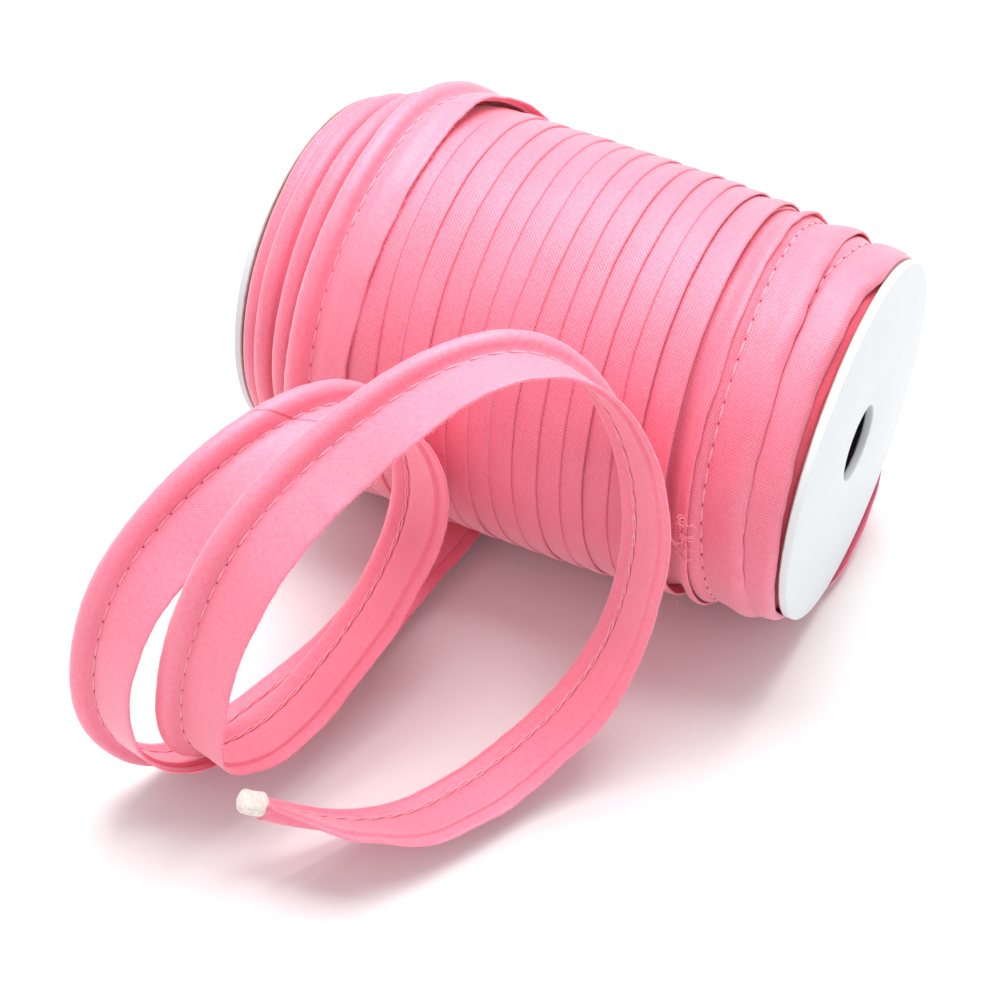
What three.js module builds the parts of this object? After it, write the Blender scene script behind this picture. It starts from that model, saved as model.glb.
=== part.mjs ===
// Roll of piping bias binding, in millimetres, +Z up.
// A spool of two card discs on a card core carries the winding, and the free end of the binding
// trails off in two standing loops. X runs along the spool, and the loose end lies towards -Y.
// The origin is on the ground under the middle of the spool.
import * as THREE from 'three';

// ---- spool ----
const DISC_RADIUS = 30;
const DISC_THICK = 1.5;
const SPOOL_LENGTH = 98.4;
const HOLE_RADIUS = 6.35;
const CORE_RADIUS = 11;
const CORE_WALL = 1.5;
const AXIS_HEIGHT = 34;
const GAP = 0.3;

// ---- binding: a filler cord wrapped in a folded strip, which makes a bead and a flange ----
const BEAD_RADIUS = 1.65;
const FLANGE_REACH = 10.35; // from the bead's centre to the raw edge
const FLANGE_THICK = 1;
const SLANT_CUT = 8; // the flange narrows over this length at the cut end
const CUT_REACH = 2.6;
const CORD_RADIUS = 1.9;
const CORD_SHOWS = 4.6;

// ---- how finely the solids are cut ----
const DISC_STEPS = 36;
const TURN_STEPS = 60;
const TAPE_STEPS = 110;
const BEAD_SIDES = 7;

const DISC_INNER = SPOOL_LENGTH / 2 - DISC_THICK;
const WINDING_END = DISC_INNER - GAP;

// The winding's height above the axis, from the left disc to the right one. The beads stand up as
// ridges at both ends, and between them the flanges lie over each other like tiles.
const WINDING = [
  { x: -WINDING_END, radius: 29.6 },
  { x: -46.4, radius: 31.0 },
  { x: -45.4, radius: 29.8 },
  { x: -43.2, radius: 32.2 },
  { x: -41.2, radius: 30.6 },
  { x: -39.6, radius: 33.2 },
  { x: -37.8, radius: 33.4 },
];
const SHOULDER = [
  { x: -36, radius: 33.6 },
  { x: -24, radius: 34.8 },
];
const SHOULDER_STEP = 1.6;
const TILE_PITCH = 4.15;
const TILE_STEP = 0.5; // how far each flange's edge stands above the next turn
const TILES = [
  { x: -22.6, radius: 34.9 },
  { x: 2, radius: 34.6 },
  { x: 12, radius: 34.2 },
  { x: 25.4, radius: 33.2 },
];
const WINDING_RIGHT = [
  { x: 27.4, radius: 31.2 },
  { x: 29.6, radius: 33.2 },
  { x: 31.4, radius: 33.6 },
  { x: 33.4, radius: 32.8 },
  { x: 39.8, radius: 32.6 },
  { x: 40.8, radius: 31.2 },
  { x: 45.4, radius: 30.8 },
  { x: WINDING_END, radius: 29.8 },
];

// The last turn climbs the front, goes over the top and slants to the right down the back. Angles
// go round the spool from the front, 90 is the top. The lift is how far it stands off the winding.
const LAST_TURN = [
  { angle: -100, x: -34.5, lift: -1.5 },
  { angle: -60, x: -33.8, lift: -0.5 },
  { angle: 0, x: -33.2, lift: 0 },
  { angle: 60, x: -33.2, lift: 0.6 },
  { angle: 97, x: -33.2, lift: 1.2 },
  { angle: 125, x: -31.8, lift: 0.6 },
  { angle: 154, x: -28.2, lift: 0.2 },
  { angle: 185, x: -23.4, lift: 0 },
  { angle: 218, x: -20.6, lift: 0 },
  { angle: 261, x: -20, lift: 0 },
  { angle: 292, x: -20, lift: 0 },
];
// Across that turn: its bead, then its flange, which lies towards +X.
const LAST_TURN_SECTION = [
  { side: -3, rise: 0 },
  { side: -1.4, rise: 1.2 },
  { side: 0, rise: 1.5 },
  { side: 1.6, rise: 1.1 },
  { side: 3.4, rise: 0.5 },
  { side: 9.6, rise: 0.5 },
  { side: 11.6, rise: 0 },
];

// The loose end, from where it leaves the ground line of the winding to the cut end. Each row has
// the bead's centre, and the way the flange points: swing turns it from +X to -Y, rise tips it up.
const LOOSE_END = [
  { x: -20.0, y: -17.8, z: 2.0, swing: 0, rise: 2 },
  { x: -20.5, y: -33.0, z: 2.5, swing: 1, rise: 5 },
  { x: -20.5, y: -47.0, z: 2.5, swing: 7, rise: 12 },
  { x: -23.0, y: -60.5, z: 2.0, swing: 13, rise: 16 },
  { x: -26.5, y: -73.5, z: 2.0, swing: 14, rise: 20 },
  { x: -31.0, y: -86.0, z: 5.0, swing: 17, rise: 21 },
  { x: -36.5, y: -92.0, z: 15.5, swing: 16, rise: 12 },
  { x: -38.0, y: -90.5, z: 29.0, swing: 15, rise: 4 },
  { x: -36.0, y: -84.5, z: 41.5, swing: 13, rise: -8 },
  { x: -31.5, y: -75.5, z: 50.5, swing: 14, rise: -20 },
  { x: -26.0, y: -64.0, z: 56.0, swing: 18, rise: -22 },
  { x: -21.5, y: -51.5, z: 55.5, swing: 21, rise: -9 },
  { x: -17.5, y: -40.5, z: 48.5, swing: 20, rise: 3 },
  { x: -14.0, y: -37.2, z: 37.0, swing: 17, rise: 7 },
  { x: -13.5, y: -40.0, z: 23.5, swing: 15, rise: 11 },
  { x: -14.5, y: -50.5, z: 14.5, swing: 17, rise: 15 },
  { x: -17.0, y: -63.0, z: 9.0, swing: 18, rise: 13 },
  { x: -20.5, y: -76.0, z: 7.0, swing: 16, rise: 8 },
  { x: -24.0, y: -87.0, z: 13.0, swing: 13, rise: 3 },
  { x: -24.0, y: -88.5, z: 26.5, swing: 13, rise: -4 },
  { x: -22.0, y: -85.0, z: 39.5, swing: 13, rise: -6 },
  { x: -19.0, y: -78.0, z: 50.5, swing: 14, rise: -9 },
  { x: -14.5, y: -67.0, z: 58.0, swing: 22, rise: -7 },
  { x: -8.5, y: -56.0, z: 63.5, swing: 30, rise: -4 },
  { x: -1.0, y: -45.0, z: 67.0, swing: 38, rise: 5 },
  { x: 8.0, y: -35.5, z: 65.5, swing: 44, rise: 18 },
  { x: 17.5, y: -31.5, z: 56.5, swing: 38, rise: 27 },
  { x: 24.0, y: -34.2, z: 45.5, swing: 29, rise: 23 },
  { x: 26.0, y: -37.0, z: 31.5, swing: 32, rise: 14 },
  { x: 25.0, y: -42.0, z: 19.0, swing: 35, rise: 8 },
  { x: 21.0, y: -50.5, z: 9.0, swing: 35, rise: 7 },
  { x: 15.0, y: -61.5, z: 3.0, swing: 30, rise: 11 },
  { x: 9.0, y: -73.5, z: 2.0, swing: 28, rise: 14 },
  { x: 1.5, y: -84.0, z: 6.0, swing: 28, rise: 23 },
  { x: -7.0, y: -92.0, z: 13.5, swing: 23, rise: 30 },
];

const card = new THREE.MeshStandardMaterial({ color: 0xf4f4f2, roughness: 0.75, metalness: 0 });
const pinkCotton = new THREE.MeshStandardMaterial({ color: 0xf2849c, roughness: 0.9, metalness: 0 });
const cordCotton = new THREE.MeshStandardMaterial({ color: 0xf6efe4, roughness: 0.95, metalness: 0 });

// Reads a column of a table between its rows.
function between(rows, key, at, column) {
  const last = rows.length - 1;
  if (at <= rows[0][key]) {
    return rows[0][column];
  }
  for (let i = 0; i < last; i += 1) {
    const low = rows[i];
    const high = rows[i + 1];
    if (at <= high[key]) {
      const share = (at - low[key]) / (high[key] - low[key]);
      return low[column] + share * (high[column] - low[column]);
    }
  }
  return rows[last][column];
}

// A flat ring standing across the X axis, from x = start for the given length.
function ringAcross(outer, inner, start, length, steps) {
  const outline = new THREE.Shape();
  outline.absarc(0, 0, outer, 0, 2 * Math.PI);
  const hole = new THREE.Path();
  hole.absarc(0, 0, inner, 0, 2 * Math.PI);
  outline.holes.push(hole);
  const ring = new THREE.ExtrudeGeometry(outline, {
    depth: length,
    bevelEnabled: false,
    curveSegments: steps,
  });
  ring.rotateY(Math.PI / 2);
  ring.translate(start, 0, AXIS_HEIGHT);
  return ring;
}

function node(name, geometry, material) {
  const mesh = new THREE.Mesh(geometry, material);
  mesh.name = name;
  return mesh;
}

// The section line of the winding along X: end ridges, a plain shoulder under the last turn, then
// one crest, one step and one middle point a turn.
function windingLine() {
  const line = WINDING.map((row) => new THREE.Vector2(row.radius, row.x));
  for (let x = SHOULDER[0].x; x < SHOULDER[1].x; x += SHOULDER_STEP) {
    line.push(new THREE.Vector2(between(SHOULDER, 'x', x, 'radius'), x));
  }
  const first = TILES[0].x;
  const last = TILES[TILES.length - 1].x;
  const count = Math.round((last - first) / TILE_PITCH);
  const pitch = (last - first) / count;
  for (let i = 0; i < count; i += 1) {
    const edge = first + i * pitch;
    const radius = between(TILES, 'x', edge, 'radius');
    line.push(new THREE.Vector2(radius, edge));
    line.push(new THREE.Vector2(radius - TILE_STEP, edge + GAP));
    line.push(new THREE.Vector2(radius - TILE_STEP / 2, edge + pitch / 2));
  }
  line.push(new THREE.Vector2(between(TILES, 'x', last, 'radius'), last));
  WINDING_RIGHT.forEach((row) => line.push(new THREE.Vector2(row.radius, row.x)));
  return line;
}

// How far the last turn raises the winding's surface at a place on it.
function lastTurnRise(angle, x) {
  const start = LAST_TURN[0].angle;
  const end = LAST_TURN[LAST_TURN.length - 1].angle;
  let rise = 0;
  for (const turn of [angle, angle + 360]) {
    if (turn >= start && turn <= end) {
      const side = x - between(LAST_TURN, 'angle', turn, 'x');
      const height = between(LAST_TURN_SECTION, 'side', side, 'rise');
      const lift = height > 0 ? between(LAST_TURN, 'angle', turn, 'lift') : 0;
      rise = Math.max(rise, height + lift);
    }
  }
  return rise;
}

function windingGeometry() {
  const line = windingLine();
  const inner = CORE_RADIUS + GAP;
  line.unshift(new THREE.Vector2(inner, -WINDING_END));
  line.push(new THREE.Vector2(inner, WINDING_END));
  line.push(new THREE.Vector2(inner, -WINDING_END));
  const geometry = new THREE.LatheGeometry(line, TURN_STEPS);
  geometry.rotateZ(-Math.PI / 2);
  const place = geometry.attributes.position;
  for (let i = 0; i < place.count; i += 1) {
    const x = place.getX(i);
    const forward = -place.getY(i);
    const up = place.getZ(i);
    const radius = Math.hypot(forward, up);
    if (radius > inner + 1) {
      const angle = THREE.MathUtils.radToDeg(Math.atan2(up, forward));
      const grown = 1 + lastTurnRise(angle, x) / radius;
      place.setXYZ(i, x, -forward * grown, Math.max(up * grown, -AXIS_HEIGHT));
    }
  }
  geometry.translate(0, 0, AXIS_HEIGHT);
  return geometry;
}

// The binding's cut section: a round bead with the flange standing out of its side.
function bindingSection(reach) {
  const half = FLANGE_THICK / 2;
  const mouth = Math.asin(half / BEAD_RADIUS);
  const points = [new THREE.Vector2(reach, -half)];
  for (let i = 0; i <= BEAD_SIDES; i += 1) {
    const angle = mouth + ((2 * Math.PI - 2 * mouth) * i) / BEAD_SIDES;
    points.push(new THREE.Vector2(BEAD_RADIUS * Math.cos(angle), -BEAD_RADIUS * Math.sin(angle)));
  }
  points.push(new THREE.Vector2(reach, half));
  return points;
}

// Stations along the loose end: bead centre, flange direction and the normal to both.
function looseStations(steps) {
  const bead = new THREE.CatmullRomCurve3(LOOSE_END.map((row) => new THREE.Vector3(row.x, row.y, row.z)));
  const turn = new THREE.CatmullRomCurve3(LOOSE_END.map((row) => new THREE.Vector3(row.swing, row.rise, 0)));
  const length = bead.getLength();
  bead.arcLengthDivisions = 2000;
  const stations = [];
  for (let i = 0; i <= steps; i += 1) {
    const t = bead.getUtoTmapping(i / steps);
    const along = bead.getTangent(t);
    const angles = turn.getPoint(t);
    const swing = THREE.MathUtils.degToRad(angles.x);
    const rise = THREE.MathUtils.degToRad(angles.y);
    const flange = new THREE.Vector3(
      Math.cos(rise) * Math.cos(swing),
      -Math.cos(rise) * Math.sin(swing),
      Math.sin(rise),
    );
    flange.addScaledVector(along, -flange.dot(along)).normalize();
    const toEnd = length * (1 - i / steps);
    const share = Math.min(1, toEnd / SLANT_CUT);
    stations.push({
      centre: bead.getPoint(t),
      along,
      flange,
      normal: new THREE.Vector3().crossVectors(along, flange),
      reach: CUT_REACH + (FLANGE_REACH - CUT_REACH) * share,
    });
  }
  return stations;
}

// A closed cylinder whose rings are laid into the stations' sections.
function looseGeometry(stations) {
  const corners = bindingSection(FLANGE_REACH).length;
  const steps = stations.length - 1;
  const geometry = new THREE.CylinderGeometry(1, 1, 1, corners, steps);
  const place = geometry.attributes.position;
  for (let i = 0; i < place.count; i += 1) {
    const station = stations[Math.round((0.5 - place.getY(i)) * steps)];
    const hub = Math.hypot(place.getX(i), place.getZ(i)) < 0.5;
    const angle = Math.atan2(place.getX(i), place.getZ(i));
    const corner = Math.round((angle / (2 * Math.PI)) * corners + corners) % corners;
    const spot = hub ? new THREE.Vector2(0, 0) : bindingSection(station.reach)[corner];
    const point = station.centre
      .clone()
      .addScaledVector(station.flange, spot.x)
      .addScaledVector(station.normal, spot.y);
    place.setXYZ(i, point.x, point.y, Math.max(point.z, 0));
  }
  return geometry;
}

// The filler cord's bare end, standing out of the bead at the cut.
function cordGeometry(station) {
  const cord = new THREE.CylinderGeometry(CORD_RADIUS, CORD_RADIUS, CORD_SHOWS - GAP, 16, 1);
  const turn = new THREE.Quaternion().setFromUnitVectors(new THREE.Vector3(0, 1, 0), station.along);
  const middle = station.centre.clone().addScaledVector(station.along, GAP + (CORD_SHOWS - GAP) / 2);
  cord.applyQuaternion(turn);
  cord.translate(middle.x, middle.y, middle.z);
  return cord;
}

const roll = new THREE.Group();
roll.name = 'piping_binding_roll';

const leftDisc = ringAcross(DISC_RADIUS, HOLE_RADIUS, -SPOOL_LENGTH / 2, DISC_THICK, DISC_STEPS);
roll.add(node('card_disc_left', leftDisc, card));

const rightDisc = ringAcross(DISC_RADIUS, HOLE_RADIUS, DISC_INNER, DISC_THICK, DISC_STEPS);
roll.add(node('card_disc_right', rightDisc, card));

const coreLength = 2 * WINDING_END;
const core = ringAcross(CORE_RADIUS, CORE_RADIUS - CORE_WALL, -WINDING_END, coreLength, DISC_STEPS / 2);
roll.add(node('card_core', core, card));

roll.add(node('wound_roll', windingGeometry(), pinkCotton));

const stations = looseStations(TAPE_STEPS);
roll.add(node('loose_tape', looseGeometry(stations), pinkCotton));
roll.add(node('filler_cord_end', cordGeometry(stations[TAPE_STEPS]), cordCotton));

export default roll;
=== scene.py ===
"""Roll of piping bias binding: cotton piping wound on a card spool, with its loose end in two loops.

The binding is one long strip of bias-cut cotton folded round a filler cord and stitched beside it,
which gives a round bead and a flat flange. Sizes in the tables are millimetres.
"""
import math
import random
import bmesh
import bpy
import numpy as np
from mathutils import Matrix, Vector, noise


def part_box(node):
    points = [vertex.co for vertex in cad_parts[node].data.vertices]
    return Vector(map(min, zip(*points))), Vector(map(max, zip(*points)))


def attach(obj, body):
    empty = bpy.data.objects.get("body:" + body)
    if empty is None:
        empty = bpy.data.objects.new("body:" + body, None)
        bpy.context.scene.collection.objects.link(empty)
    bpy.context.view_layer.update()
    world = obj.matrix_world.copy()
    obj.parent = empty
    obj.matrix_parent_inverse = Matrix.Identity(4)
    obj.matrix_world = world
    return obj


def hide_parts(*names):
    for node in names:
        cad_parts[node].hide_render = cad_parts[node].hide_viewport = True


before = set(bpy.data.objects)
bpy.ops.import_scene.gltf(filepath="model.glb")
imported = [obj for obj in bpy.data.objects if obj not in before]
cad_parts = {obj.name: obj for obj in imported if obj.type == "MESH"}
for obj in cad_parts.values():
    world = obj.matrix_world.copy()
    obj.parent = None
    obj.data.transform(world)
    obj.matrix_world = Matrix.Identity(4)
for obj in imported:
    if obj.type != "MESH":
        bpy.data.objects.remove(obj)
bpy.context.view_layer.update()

MM = 0.001

# ---- the spool, read from the frame ----
DISC_LOW, DISC_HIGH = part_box("card_disc_right")
SPOOL_END = DISC_HIGH[0] / MM
DISC_THICK = (DISC_HIGH[0] - DISC_LOW[0]) / MM
DISC_RADIUS = (DISC_HIGH[2] - DISC_LOW[2]) / 2 / MM
AXIS_HEIGHT = (DISC_HIGH[2] + DISC_LOW[2]) / 2 / MM
HOLE_RADIUS = 6.35
WINDING_END = SPOOL_END - DISC_THICK - 0.15

# ---- the binding ----
BEAD_RADIUS = 1.75
BEAD_SET = 0.9         # how far the bead stands out on the outer face
STITCH_LINE = 2.2      # from the bead's middle
FLANGE_REACH = 10.9    # where the outer layer stops, at the raw edge
WOUND_REACH = 8.9      # the flange is drawn narrower where the binding is wound tight
FLAT_FROM = 2.9        # where the flat flange starts, past the dip of the seam
STITCH_PITCH = 3.3
STITCH_LENGTH = 2.75
CHAIN_THICK = 0.32
JOIN_AT = 393.7        # how far along the strip two lengths are sewn together
JOIN_SLANT = 1.1       # how far the join runs along for each step across
THREAD_PITCH = 0.42    # between the weave's threads
FLOOR_GAP = 0.15
FLANGE_SET = 0.6       # the flange's plane stands this far in from the route


def table(names, *rows):
    """Rows of numbers under named columns."""
    return [dict(zip(names.split(), row)) for row in rows]


# The route of the last turn on the spool: angle goes round from the front over the top, x is the
# bead's centre, off is its height above the winding and lean tips the flange away from the winding.
LAST_TURN = table(
    "angle x off lean",
    (-85, -34.9, 1.0, 0),
    (-60, -34.8, 1.0, 2),
    (-30, -34.7, 1.0, 4),
    (0, -34.6, 1.0, 5),
    (30, -34.1, 1.0, 6),
    (60, -33.5, 1.0, 7),
    (82, -33.3, 1.1, 9),
    (97, -33.3, 1.2, 13),
    (112, -32.6, 1.3, 15),
    (130, -31.2, 1.2, 11),
    (155, -28.0, 1.1, 4),
    (185, -23.6, 1.1, 1),
    (215, -20.8, 1.1, 0),
    (243, -20.0, 1.0, 0),
    (268, -20.0, 0.6, 0),
)

# The loose end from the winding to the cut: the bead's centre, and the way the flange points.
# Swing turns it from +X towards -Y, and rise tips it up.
LOOSE_END = table(
    "x y z swing rise",
    (-20.0, -17.8, 2.0, 0, 2),
    (-20.5, -33.0, 2.5, 1, 5),
    (-20.5, -47.0, 2.5, 7, 12),
    (-23.0, -60.5, 2.0, 13, 16),
    (-26.5, -73.5, 2.0, 14, 20),
    (-31.0, -86.0, 5.0, 17, 21),
    (-36.1, -92.0, 15.5, 17, 12),
    (-37.4, -90.5, 29.0, 18, 4),
    (-35.5, -84.5, 41.5, 18, -8),
    (-31.3, -75.5, 50.5, 21, -21),
    (-26.0, -64.0, 56.0, 21, -22),
    (-21.5, -51.5, 55.5, 21, -9),
    (-17.5, -40.5, 48.5, 20, 3),
    (-14.0, -37.2, 37.0, 17, 7),
    (-13.5, -40.0, 23.5, 15, 11),
    (-14.5, -50.5, 14.5, 17, 15),
    (-17.0, -63.0, 9.0, 18, 13),
    (-20.5, -76.0, 7.0, 16, 8),
    (-24.0, -87.0, 13.0, 13, 3),
    (-24.0, -88.5, 26.5, 13, -4),
    (-22.0, -85.0, 39.5, 13, -6),
    (-19.0, -78.0, 50.5, 14, -9),
    (-14.5, -67.0, 58.0, 22, -7),
    (-8.5, -56.0, 63.5, 30, -4),
    (-1.0, -45.0, 67.0, 38, 5),
    (8.0, -35.5, 65.5, 44, 18),
    (17.5, -31.5, 56.5, 38, 27),
    (24.0, -34.2, 45.5, 31, 23),
    (26.0, -37.0, 31.5, 35, 14),
    (25.0, -42.0, 19.0, 38, 8),
    (21.0, -50.5, 9.0, 37, 7),
    (15.0, -61.5, 3.0, 30, 11),
    (9.0, -73.5, 2.0, 28, 14),
    (1.5, -84.0, 6.0, 28, 23),
    (-7.0, -92.0, 13.5, 23, 30),
)
SLANT_CUT = 9.0        # the flange narrows over this length at the cut end
CUT_REACH = 3.9        # where the flange stops at the cut itself
CORD_RADIUS = 1.82

# The winding's crest along the spool, under the last turn at the left.
CREST = table(
    "x radius",
    (-48.0, 29.4),
    (-44.0, 31.0),
    (-40.0, 32.0),
    (-36.0, 32.7),
    (-30.0, 33.6),
    (-26.0, 34.3),
    (-22.0, 34.7),
    (-19.0, 34.8),
    (-15.0, 34.7),
    (-8.0, 34.5),
    (3.0, 34.4),
    (10.0, 34.2),
    (17.0, 33.9),
    (21.0, 33.6),
    (24.0, 33.4),
    (28.5, 33.1),
    (40.0, 31.2),
    (48.0, 29.4),
)
# The raw edges of the tiled turns, from right to left, one a turn.
TILE_EDGES = [30.2, 27.8, 22.7, 18.9, 15.0, 11.0, 7.1, 3.0, -0.9, -4.7, -8.6, -12.9, -17.2, -21.5, -26.0]
TILE_LEAN = table(
    "angle shift",
    (-100, 1.0),
    (-30, 1.2),
    (17, 0.6),
    (48, 0.0),
    (90, 0.0),
    (180, 0.3),
    (260, 1.0),
)


def column(rows, key):
    return [row[key] for row in rows]


def at_angle(rows, angle, key="shift"):
    """What a table gives at that angle round the spool."""
    return float(np.interp(angle, column(rows, "angle"), column(rows, key)))


def crest(x):
    return float(np.interp(x, column(CREST, "x"), column(CREST, "radius")))


def wander(a, b, size, seed):
    """A smooth uneven offset of about the given size, the same every time."""
    return size * noise.noise(Vector((a, b, seed)))


def round_spool(x, radius, angle):
    """The point at that place round the spool: angle 0 is the front and 90 the top."""
    turn = math.radians(angle)
    return Vector((x, -radius * math.cos(turn), AXIS_HEIGHT + radius * math.sin(turn)))


# ---- camera, light and floor ----

def make_camera():
    data = bpy.data.cameras.new("camera")
    data.lens = 73.0
    data.sensor_width = 36.0
    camera = bpy.data.objects.new("camera", data)
    camera.location = Vector((105.9, -233.8, 257.5)) * MM
    camera.rotation_euler = (math.radians(44.677), 0, math.radians(27.398))
    data.clip_start = 0.01
    bpy.context.scene.collection.objects.link(camera)
    bpy.context.scene.camera = camera


def add_lamp(name, place, target, size, power):
    data = bpy.data.lights.new(name, "AREA")
    data.shape = "SQUARE"
    data.size = size
    data.energy = power
    lamp = bpy.data.objects.new(name, data)
    lamp.location = place
    lamp.rotation_euler = (Vector(target) - Vector(place)).to_track_quat("-Z", "Y").to_euler()
    bpy.context.scene.collection.objects.link(lamp)


def make_light():
    world = bpy.data.worlds.new("studio")
    world.use_nodes = True
    bpy.context.scene.world = world
    nodes, links = world.node_tree.nodes, world.node_tree.links
    nodes.clear()
    out = nodes.new("ShaderNodeOutputWorld")
    light = nodes.new("ShaderNodeBackground")
    light.inputs["Color"].default_value = (1.0, 0.985, 0.99, 1)
    light.inputs["Strength"].default_value = 0.73
    seen = nodes.new("ShaderNodeBackground")
    seen.inputs["Color"].default_value = (1, 1, 1, 1)
    seen.inputs["Strength"].default_value = 1.0
    path = nodes.new("ShaderNodeLightPath")
    pick = nodes.new("ShaderNodeMixShader")
    links.new(path.outputs["Is Camera Ray"], pick.inputs[0])
    links.new(light.outputs[0], pick.inputs[1])
    links.new(seen.outputs[0], pick.inputs[2])
    links.new(pick.outputs[0], out.inputs["Surface"])
    add_lamp("softbox_over", (-0.08, 0.22, 0.75), (0, -0.02, 0.03), 0.6, 8.8)
    add_lamp("softbox_front", (0.05, -0.90, 0.45), (0, -0.04, 0.03), 0.6, 0.4)


def make_floor():
    bm = bmesh.new()
    bmesh.ops.create_grid(bm, x_segments=1, y_segments=1, size=4.0)
    floor = add_piece("floor", bm)
    material = bpy.data.materials.new("plain_floor")
    material.use_nodes = True
    shader = material.node_tree.nodes["Principled BSDF"]
    shader.inputs["Base Color"].default_value = (0.82, 0.815, 0.82, 1)
    shader.inputs["Roughness"].default_value = 0.9
    shader.inputs["Specular IOR Level"].default_value = 0.1
    nodes, links = material.node_tree.nodes, material.node_tree.links
    spots = object_spots(material.node_tree)
    far = nodes.new("ShaderNodeVectorMath")
    far.operation = "LENGTH"
    links.new(spots, far.inputs[0])
    fade = nodes.new("ShaderNodeMapRange")
    fade.interpolation_type = "SMOOTHSTEP"
    fade.inputs["From Min"].default_value = 0.3
    fade.inputs["From Max"].default_value = 0.7
    links.new(far.outputs["Value"], fade.inputs["Value"])
    path = nodes.new("ShaderNodeLightPath")
    seen = maths(material.node_tree, "ADD", path.outputs["Is Camera Ray"], path.outputs["Is Glossy Ray"])
    seen = maths(material.node_tree, "ADD", seen, path.outputs["Is Transmission Ray"], clamp=True)
    share = maths(material.node_tree, "MULTIPLY", seen, fade.outputs["Result"])
    white = nodes.new("ShaderNodeEmission")
    pick = nodes.new("ShaderNodeMixShader")
    links.new(share, pick.inputs[0])
    links.new(shader.outputs[0], pick.inputs[1])
    links.new(white.outputs[0], pick.inputs[2])
    links.new(pick.outputs[0], nodes["Material Output"].inputs["Surface"])
    floor.data.materials.append(material)


# ---- making pieces ----

def add_piece(name, bm, smooth=False):
    mesh = bpy.data.meshes.new(name)
    bm.to_mesh(mesh)
    bm.free()
    if smooth:
        mesh.shade_smooth()
    piece = bpy.data.objects.new(name, mesh)
    bpy.context.scene.collection.objects.link(piece)
    return piece


def fit_out(piece, material, slot, *nodes):
    """What every piece is told: its material, the body and the nodes it shows. slot is not used."""
    piece.data.materials.append(material)
    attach(piece, "root")
    if nodes:
        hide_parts(*nodes)
    return piece


def laid_cloth(name, points, cloth, round_trip=False):
    """A grid laid through points[i][j]: i runs along the binding and j goes round its section,
    whose first and last points meet. cloth[i][j] is where each lies on the flat cloth."""
    along, across = points.shape[0] - 1, points.shape[1] - 1
    bm = bmesh.new()
    uv = bm.loops.layers.uv.new("cloth")
    bmesh.ops.create_grid(bm, x_segments=along, y_segments=across, size=0.5)
    for face in bm.faces:
        for loop in face.loops:
            i = round((loop.vert.co.x + 0.5) * along)
            j = round((loop.vert.co.y + 0.5) * across)
            loop[uv].uv = cloth[i, j]
    for vert in bm.verts:
        i = round((vert.co.x + 0.5) * along)
        j = round((vert.co.y + 0.5) * across)
        vert.co = points[i, j]
    bmesh.ops.remove_doubles(bm, verts=bm.verts, dist=1e-6)
    if not round_trip:
        rim = [edge for edge in bm.edges if edge.is_boundary]
        bmesh.ops.holes_fill(bm, edges=rim, sides=0)
    bmesh.ops.recalc_face_normals(bm, faces=bm.faces)
    return add_piece(name, bm, smooth=True)


def natural_spline(rows, step):
    """Rows of numbers, the first three a place, joined by a natural cubic spline and read evenly."""
    rows = np.array(rows, float)
    span = np.linalg.norm(np.diff(rows[:, :3], axis=0), axis=1)
    knots = np.concatenate([[0], np.cumsum(span)])
    count = len(rows)
    system = np.eye(count)
    bend = np.zeros_like(rows)
    for i in range(1, count - 1):
        system[i, i - 1] = span[i - 1]
        system[i, i] = 2 * (span[i - 1] + span[i])
        system[i, i + 1] = span[i]
        bend[i] = 6 * ((rows[i + 1] - rows[i]) / span[i] - (rows[i] - rows[i - 1]) / span[i - 1])
    bend = np.linalg.solve(system, bend)

    def read(places):
        k = np.clip(np.searchsorted(knots, places, side="right") - 1, 0, count - 2)
        h = span[k][:, None]
        a = ((knots[k + 1] - places)[:, None]) / h
        b = 1 - a
        curve = a * rows[k] + b * rows[k + 1]
        return curve + ((a**3 - a) * bend[k] + (b**3 - b) * bend[k + 1]) * h**2 / 6

    fine = read(np.linspace(0, knots[-1], 8000))
    walked = np.linalg.norm(np.diff(fine[:, :3], axis=0), axis=1)
    walked = np.concatenate([[0], np.cumsum(walked)])
    even = np.linspace(0, walked[-1], max(2, round(walked[-1] / step)))
    spots = np.interp(even, walked, np.linspace(0, knots[-1], 8000))
    return read(spots), even


# ---- the loose strip: last turn and loose end ----

def last_turn_rows():
    """The last turn's route as places, flange directions and flange reach."""
    rows = []
    for row in LAST_TURN:
        turn = math.radians(row["angle"])
        place = round_spool(row["x"], crest(row["x"] + 3) + row["off"], row["angle"])
        outward = Vector((0, -math.cos(turn), math.sin(turn)))
        lean = math.radians(row["lean"])
        flange = Vector((math.cos(lean), 0, 0)) + outward * math.sin(lean)
        rows.append([place.x, place.y, max(place.z, BEAD_RADIUS + 0.2), *flange, WOUND_REACH])
    return rows


def loose_end_rows():
    rows = []
    for row in LOOSE_END:
        swing, rise = math.radians(row["swing"]), math.radians(row["rise"])
        flange = (
            math.cos(rise) * math.cos(swing),
            -math.cos(rise) * math.sin(swing),
            math.sin(rise),
        )
        rows.append([row["x"], row["y"], row["z"], *flange, FLANGE_REACH])
    return rows


def strip_stations(rows, step):
    """Even stations along a route: centre, the way along, the flange's way and the normal."""
    read, walked = natural_spline(rows, step)
    centre, flange, reach = read[:, :3], read[:, 3:6], read[:, 6]
    along = np.gradient(centre, walked, axis=0)
    along /= np.linalg.norm(along, axis=1)[:, None]
    flange -= along * (flange * along).sum(axis=1)[:, None]
    flange /= np.linalg.norm(flange, axis=1)[:, None]
    normal = np.cross(along, flange)
    centre = centre + normal * FLANGE_SET
    return {"centre": centre, "along": along, "flange": flange, "normal": normal,
            "reach": reach, "walked": walked}


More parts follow.
